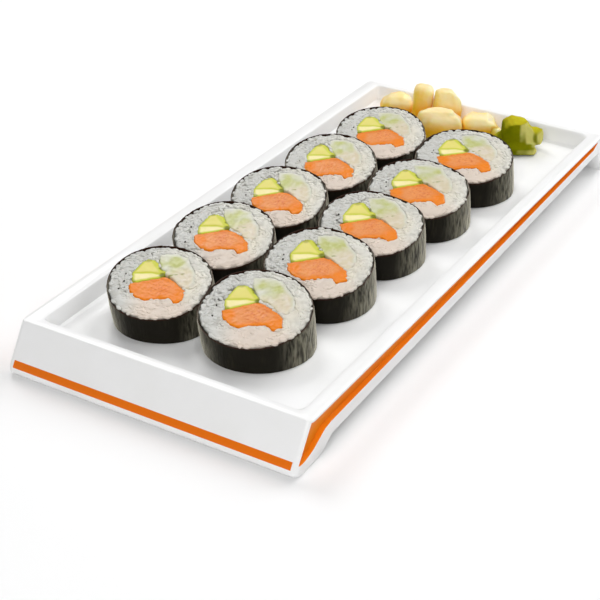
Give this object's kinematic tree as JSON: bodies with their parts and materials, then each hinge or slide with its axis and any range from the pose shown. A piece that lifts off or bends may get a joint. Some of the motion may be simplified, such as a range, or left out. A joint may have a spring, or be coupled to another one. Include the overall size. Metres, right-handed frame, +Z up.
{
  "type": "maki sushi platter",
  "caption": "Long white porcelain tray of cut maki rolls with salmon, avocado and cucumber, pickled ginger and wasabi.",
  "frame": {"origin": "on the table, under the centre of the tray's bounding box", "axes": "+Z up, +Y along the tray from the empty front end to the ginger and wasabi, +X across it"},
  "size_m": [0.1364, 0.3188, 0.0346],
  "materials": {
    "porcelain": "glossy white glaze with an orange glazed band and stripe",
    "nori": "thin pressed seaweed, satin, finely wrinkled",
    "rice": "moist cooked short-grain rice",
    "salmon": "moist raw fish with pale fat lines",
    "avocado": "soft fruit flesh, green at the rim",
    "cucumber": "wet translucent flesh with a pale core",
    "ginger": "moist pickled slices, slightly translucent",
    "wasabi": "pressed paste with torn flat faces"
  },
  "bodies": {
    "root": {"tray": "porcelain", "roll_01_nori": "nori", "roll_01_rice": "rice", "roll_01_salmon": "salmon", "roll_01_avocado": "avocado", "roll_01_cucumber": "cucumber", "roll_02_nori": "nori", "roll_02_rice": "rice", "roll_02_salmon": "salmon", "roll_02_avocado": "avocado", "roll_02_cucumber": "cucumber", "roll_03_nori": "nori", "roll_03_rice": "rice", "roll_03_salmon": "salmon", "roll_03_avocado": "avocado", "roll_03_cucumber": "cucumber", "roll_04_nori": "nori", "roll_04_rice": "rice", "roll_04_salmon": "salmon", "roll_04_avocado": "avocado", "roll_04_cucumber": "cucumber", "roll_05_nori": "nori", "roll_05_rice": "rice", "roll_05_salmon": "salmon", "roll_05_avocado": "avocado", "roll_05_cucumber": "cucumber", "roll_06_nori": "nori", "roll_06_rice": "rice", "roll_06_salmon": "salmon", "roll_06_avocado": "avocado", "roll_06_cucumber": "cucumber", "roll_07_nori": "nori", "roll_07_rice": "rice", "roll_07_salmon": "salmon", "roll_07_avocado": "avocado", "roll_07_cucumber": "cucumber", "roll_08_nori": "nori", "roll_08_rice": "rice", "roll_08_salmon": "salmon", "roll_08_avocado": "avocado", "roll_08_cucumber": "cucumber", "roll_09_nori": "nori", "roll_09_rice": "rice", "roll_09_salmon": "salmon", "roll_09_avocado": "avocado", "roll_09_cucumber": "cucumber", "roll_10_nori": "nori", "roll_10_rice": "rice", "roll_10_salmon": "salmon", "roll_10_avocado": "avocado", "roll_10_cucumber": "cucumber", "wasabi": "wasabi", "ginger_1": "ginger", "ginger_2": "ginger", "ginger_3": "ginger", "ginger_4": "ginger", "ginger_5": "ginger", "ginger_6": "ginger"}
  },
  "joints": []
}
